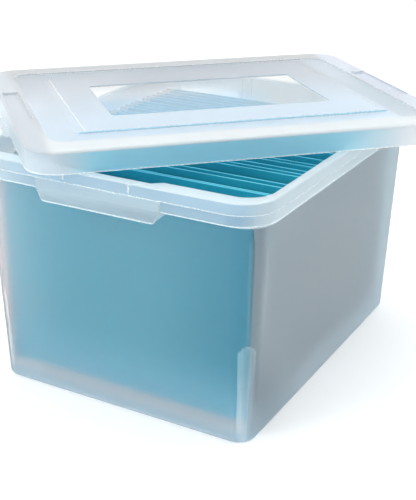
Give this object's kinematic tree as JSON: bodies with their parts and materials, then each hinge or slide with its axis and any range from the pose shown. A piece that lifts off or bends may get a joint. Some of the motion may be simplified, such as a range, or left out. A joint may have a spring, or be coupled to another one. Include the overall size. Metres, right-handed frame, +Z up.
{
  "type": "portable file box",
  "caption": "Translucent moulded file tote with a loose stepped lid, grip tabs and moulded rails that carry hanging folders on hooked steel rods.",
  "frame": {"origin": "centre of the tote's flat underside", "axes": "+Z up; -Y out of the short side with the near grip tab; +X out of the long side to the right of it; folders lie across X"},
  "size_m": [0.5563, 0.559, 0.294],
  "materials": {
    "tote_plastic": "frosted translucent polypropylene, satin outside",
    "lid_plastic": "translucent polypropylene with a clear polished window",
    "folder_card": "teal card, slightly glossy",
    "rod_steel": "flat steel strip with coated ends"
  },
  "bodies": {
    "tote": {"tote": "tote_plastic"},
    "lid": {"lid": "lid_plastic"},
    "folder_01": {"folder_01_jacket": "folder_card", "folder_01_front_rod": "rod_steel", "folder_01_rear_rod": "rod_steel"},
    "folder_02": {"folder_02_jacket": "folder_card", "folder_02_front_rod": "rod_steel", "folder_02_rear_rod": "rod_steel"},
    "folder_03": {"folder_03_jacket": "folder_card", "folder_03_front_rod": "rod_steel", "folder_03_rear_rod": "rod_steel"},
    "folder_04": {"folder_04_jacket": "folder_card", "folder_04_front_rod": "rod_steel", "folder_04_rear_rod": "rod_steel"},
    "folder_05": {"folder_05_jacket": "folder_card", "folder_05_front_rod": "rod_steel", "folder_05_rear_rod": "rod_steel"},
    "folder_06": {"folder_06_jacket": "folder_card", "folder_06_front_rod": "rod_steel", "folder_06_rear_rod": "rod_steel"},
    "folder_07": {"folder_07_jacket": "folder_card", "folder_07_front_rod": "rod_steel", "folder_07_rear_rod": "rod_steel"},
    "folder_08": {"folder_08_jacket": "folder_card", "folder_08_front_rod": "rod_steel", "folder_08_rear_rod": "rod_steel"},
    "folder_09": {"folder_09_jacket": "folder_card", "folder_09_front_rod": "rod_steel", "folder_09_rear_rod": "rod_steel"},
    "folder_10": {"folder_10_jacket": "folder_card", "folder_10_front_rod": "rod_steel", "folder_10_rear_rod": "rod_steel"},
    "folder_11": {"folder_11_jacket": "folder_card", "folder_11_front_rod": "rod_steel", "folder_11_rear_rod": "rod_steel"},
    "folder_12": {"folder_12_jacket": "folder_card", "folder_12_front_rod": "rod_steel", "folder_12_rear_rod": "rod_steel"},
    "folder_13": {"folder_13_jacket": "folder_card", "folder_13_front_rod": "rod_steel", "folder_13_rear_rod": "rod_steel"}
  },
  "joints": [
    {"name": "lid_lift", "type": "slide", "parent": "tote", "child": "lid", "axis": [0, 0, 1], "range_m": [0, 0.3]},
    {"name": "folder_01_slide", "type": "slide", "parent": "tote", "child": "folder_01", "axis": [0, 1, 0], "range_m": [0, 0.0295]},
    {"name": "folder_02_slide", "type": "slide", "parent": "tote", "child": "folder_02", "axis": [0, 1, 0], "range_m": [0, 0.0205]},
    {"name": "folder_03_slide", "type": "slide", "parent": "tote", "child": "folder_03", "axis": [0, 1, 0], "range_m": [0, 0.025]},
    {"name": "folder_04_slide", "type": "slide", "parent": "tote", "child": "folder_04", "axis": [0, 1, 0], "range_m": [0, 0.008]},
    {"name": "folder_05_slide", "type": "slide", "parent": "tote", "child": "folder_05", "axis": [0, 1, 0], "range_m": [0, 0.006]},
    {"name": "folder_06_slide", "type": "slide", "parent": "tote", "child": "folder_06", "axis": [0, 1, 0], "range_m": [0, 0.025]},
    {"name": "folder_07_slide", "type": "slide", "parent": "tote", "child": "folder_07", "axis": [0, 1, 0], "range_m": [0, 0.0085]},
    {"name": "folder_08_slide", "type": "slide", "parent": "tote", "child": "folder_08", "axis": [0, 1, 0], "range_m": [0, 0.0135]},
    {"name": "folder_09_slide", "type": "slide", "parent": "tote", "child": "folder_09", "axis": [0, 1, 0], "range_m": [0, 0.0085]},
    {"name": "folder_10_slide", "type": "slide", "parent": "tote", "child": "folder_10", "axis": [0, 1, 0], "range_m": [0, 0.0135]},
    {"name": "folder_11_slide", "type": "slide", "parent": "tote", "child": "folder_11", "axis": [0, 1, 0], "range_m": [0, 0.011]},
    {"name": "folder_12_slide", "type": "slide", "parent": "tote", "child": "folder_12", "axis": [0, 1, 0], "range_m": [0, 0.0105]},
    {"name": "folder_13_slide", "type": "slide", "parent": "tote", "child": "folder_13", "axis": [0, 1, 0], "range_m": [0, 0.0155]}
  ]
}
